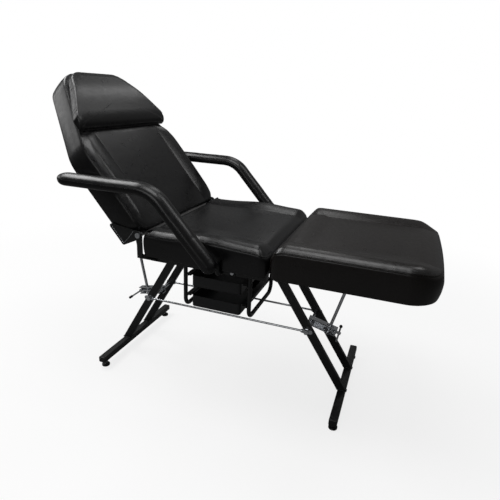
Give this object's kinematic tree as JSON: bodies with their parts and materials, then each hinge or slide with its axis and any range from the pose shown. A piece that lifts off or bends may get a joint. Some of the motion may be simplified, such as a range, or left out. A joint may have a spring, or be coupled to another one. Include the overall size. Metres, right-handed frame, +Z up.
{
  "type": "tattoo chair",
  "caption": "Adjustable tattoo chair with a reclining back, a leg rest that folds down, padded arms and sliding trays under the seat.",
  "frame": {"origin": "on the floor, under the middle of the chair's outline", "axes": "+Y towards the head end, +X towards the sitter's left, +Z up"},
  "size_m": [0.772, 1.4466, 1.1405],
  "materials": {
    "black_leather": "satin",
    "plywood": "matte",
    "black_paint": "satin",
    "zinc_steel": "satin",
    "black_plastic": "satin"
  },
  "bodies": {
    "base": {"seat_cushion": "black_leather", "seat_board": "plywood", "seat_frame": "black_paint", "seat_screws": "zinc_steel", "back_hinge_bracket_left": "black_paint", "back_hinge_bracket_right": "black_paint", "hinge_bolts": "zinc_steel", "hinge_nuts": "zinc_steel", "leg_hinge_brackets": "black_paint", "front_leg_left": "black_paint", "front_leg_right": "black_paint", "rear_leg_left": "black_paint", "rear_leg_right": "black_paint", "front_foot_bar": "black_paint", "rear_foot_bar": "black_paint", "foot_bar_caps": "black_plastic", "levelling_feet": "black_plastic", "foot_nuts": "zinc_steel", "cross_rods": "zinc_steel", "cross_rod_spacers": "zinc_steel", "cross_rod_nuts": "zinc_steel", "side_brace_left": "zinc_steel", "side_brace_right": "zinc_steel", "front_tray_hoop": "black_paint", "rear_tray_hoop": "black_paint", "tray_runners": "black_paint", "arm_pad_left": "black_leather", "arm_pad_right": "black_leather", "arm_support_left": "black_paint", "arm_support_right": "black_paint", "arm_bolts": "zinc_steel"},
    "back": {"back_cushion": "black_leather", "back_board": "plywood", "back_frame": "black_paint", "back_screws": "zinc_steel", "head_pillow": "black_leather", "back_hinge_arm_left": "black_paint", "back_hinge_arm_right": "black_paint", "back_strut_pin": "zinc_steel"},
    "leg_rest": {"leg_cushion": "black_leather", "leg_board": "plywood", "leg_frame": "black_paint", "leg_screws": "zinc_steel", "leg_hinge_arms": "black_paint", "leg_strut_pin": "zinc_steel"},
    "back_strut": {"back_strut": "zinc_steel"},
    "leg_strut": {"leg_strut": "zinc_steel"},
    "rear_clamp": {"rear_clamp": "zinc_steel", "rear_lever_pin": "zinc_steel", "rear_lock_spring": "zinc_steel"},
    "front_clamp": {"front_clamp": "zinc_steel", "front_lever_pin": "zinc_steel", "front_lock_spring": "zinc_steel"},
    "rear_lever": {"rear_lock_lever": "zinc_steel", "rear_lever_tip": "black_plastic"},
    "front_lever": {"front_lock_lever": "zinc_steel", "front_lever_knob": "black_plastic"},
    "upper_tray": {"upper_tray": "black_plastic"},
    "lower_tray": {"lower_tray": "black_plastic"}
  },
  "joints": [
    {"name": "back_recline", "type": "hinge", "parent": "base", "child": "back", "pos_m": [0, 0.254, 0.62], "axis": [-1, 0, 0], "range_deg": [0, 50]},
    {"name": "leg_rest_tilt", "type": "hinge", "parent": "base", "child": "leg_rest", "pos_m": [0, -0.214, 0.492], "axis": [1, 0, 0], "range_deg": [0, 35]},
    {"name": "back_strut_swing", "type": "hinge", "parent": "back", "child": "back_strut", "pos_m": [0, 0.52687, 0.79654], "axis": [-1, 0, 0], "range_deg": [-32.25, 0]},
    {"name": "rear_clamp_swing", "type": "hinge", "parent": "base", "child": "rear_clamp", "pos_m": [0, 0.352, 0.27], "axis": [-1, 0, 0], "range_deg": [0, 17.75]},
    {"name": "leg_strut_swing", "type": "hinge", "parent": "leg_rest", "child": "leg_strut", "pos_m": [0, -0.463, 0.528], "axis": [1, 0, 0], "range_deg": [-28.35, 0]},
    {"name": "front_clamp_swing", "type": "hinge", "parent": "base", "child": "front_clamp", "pos_m": [0, -0.32, 0.27], "axis": [1, 0, 0], "range_deg": [0, 6.65]},
    {"name": "rear_lever_release", "type": "hinge", "parent": "rear_clamp", "child": "rear_lever", "pos_m": [0, 0.44711, 0.25094], "axis": [-1, 0, 0], "range_deg": [0, 8], "stiffness_Nm_per_rad": 2, "springref_deg": -8.59},
    {"name": "front_lever_release", "type": "hinge", "parent": "front_clamp", "child": "front_lever", "pos_m": [0, -0.41384, 0.24543], "axis": [1, 0, 0], "range_deg": [0, 8], "stiffness_Nm_per_rad": 2, "springref_deg": -8.59},
    {"name": "upper_tray_slide", "type": "slide", "parent": "base", "child": "upper_tray", "axis": [1, 0, 0], "range_m": [-0.18, 0.18]},
    {"name": "lower_tray_slide", "type": "slide", "parent": "base", "child": "lower_tray", "axis": [1, 0, 0], "range_m": [-0.18, 0.18]}
  ],
  "couplings": [
    {"joint": "back_strut_swing", "follows": "back_recline", "ratio": -0.645},
    {"joint": "rear_clamp_swing", "follows": "back_recline", "ratio": 0.355},
    {"joint": "leg_strut_swing", "follows": "leg_rest_tilt", "ratio": -0.81},
    {"joint": "front_clamp_swing", "follows": "leg_rest_tilt", "ratio": 0.19}
  ]
}
